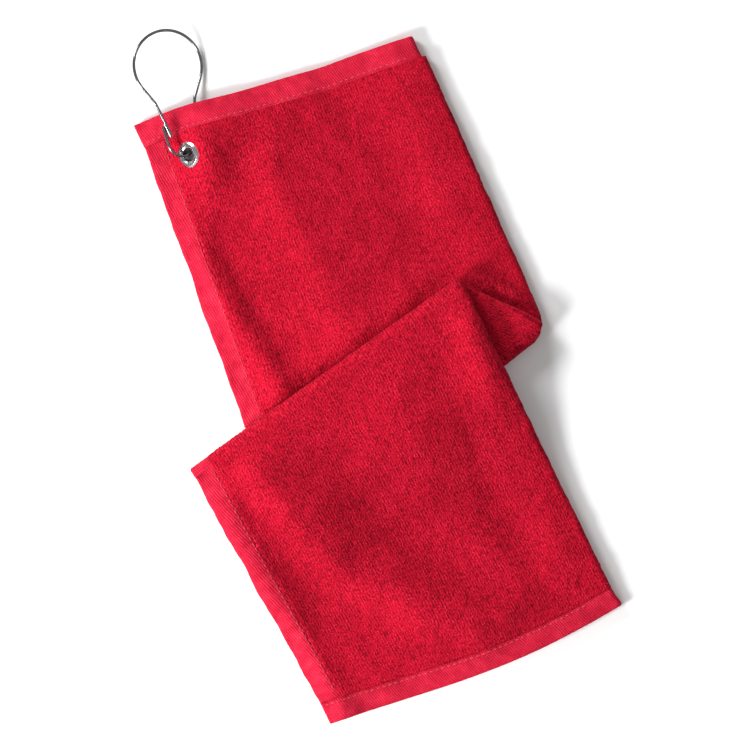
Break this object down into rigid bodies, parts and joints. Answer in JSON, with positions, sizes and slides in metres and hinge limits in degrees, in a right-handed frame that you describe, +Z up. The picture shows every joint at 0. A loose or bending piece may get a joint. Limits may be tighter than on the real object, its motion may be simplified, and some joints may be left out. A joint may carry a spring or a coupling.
{
  "type": "golf towel",
  "caption": "Hemmed terry golf towel folded lengthwise and in a Z, with a corner grommet and a pear-shaped spring wire hook for hanging it on a bag.",
  "frame": {"origin": "on the floor under the middle of the folded towel's bounding box", "axes": "+Z up out of the lying towel, +Y towards the hook end, +X towards the towel's folded long edge; the strip runs down and to the right of +Y"},
  "size_m": [0.2686, 0.3833, 0.0186],
  "materials": {
    "terry": "cut and looped cotton pile, deep red",
    "hem_band": "flat woven cotton hem, red",
    "thread": "matching red sewing thread",
    "grommet_nickel": "bright nickel plate",
    "hook_chrome": "bright chrome-plated spring wire"
  },
  "bodies": {
    "upper_panel": {"upper_cloth": "terry", "top_hem": "hem_band", "upper_side_hem": "hem_band", "upper_back_hem": "hem_band", "fold_one_turn": "terry", "top_hem_thread": "thread", "upper_side_thread": "thread"},
    "corner": {"corner_cloth": "terry", "eyelet_cloth": "terry", "grommet_eyelet": "grommet_nickel", "grommet_washer": "grommet_nickel"},
    "hook": {"hook_wire": "hook_chrome"},
    "hook_arm": {"hook_spring_arm": "hook_chrome"},
    "middle_panel": {"middle_cloth": "terry", "middle_side_hem": "hem_band", "middle_back_hem": "hem_band", "fold_two_turn": "terry"},
    "lower_panel": {"lower_cloth": "terry", "lower_under_cloth": "terry", "lower_side_hem": "hem_band", "lower_back_hem": "hem_band", "bottom_hem": "hem_band", "bottom_hem_thread": "thread"}
  },
  "joints": [
    {"name": "corner_lift", "type": "hinge", "parent": "upper_panel", "child": "corner", "pos_m": [-0.0821, 0.1124, 0.00605], "axis": [0.4501, 0.893, 0], "range_deg": [0, 60]},
    {"name": "hook_turn", "type": "hinge", "parent": "corner", "child": "hook", "pos_m": [-0.10382, 0.12704, 0.0065], "axis": [0, 0, 1], "range_deg": [-5, 12]},
    {"name": "hook_arm_open", "type": "hinge", "parent": "hook", "child": "hook_arm", "pos_m": [-0.11859, 0.19049, 0.00836], "axis": [0, 0, 1], "range_deg": [0, 6], "stiffness_Nm_per_rad": 0.3},
    {"name": "fold_one", "type": "hinge", "parent": "upper_panel", "child": "middle_panel", "pos_m": [-0.053, -0.0831, 0.00615], "axis": [0.7872, 0.6168, 0], "range_deg": [0, 164], "deforming": ["fold_one_turn"]},
    {"name": "fold_two", "type": "hinge", "parent": "middle_panel", "child": "lower_panel", "pos_m": [-0.0997, -0.0555, 0.01245], "axis": [0.8145, 0.5801, 0], "range_deg": [-164, 0], "deforming": ["fold_two_turn"]}
  ],
  "couplings": [
    {"joint": "fold_two", "follows": "fold_one", "ratio": -1}
  ]
}
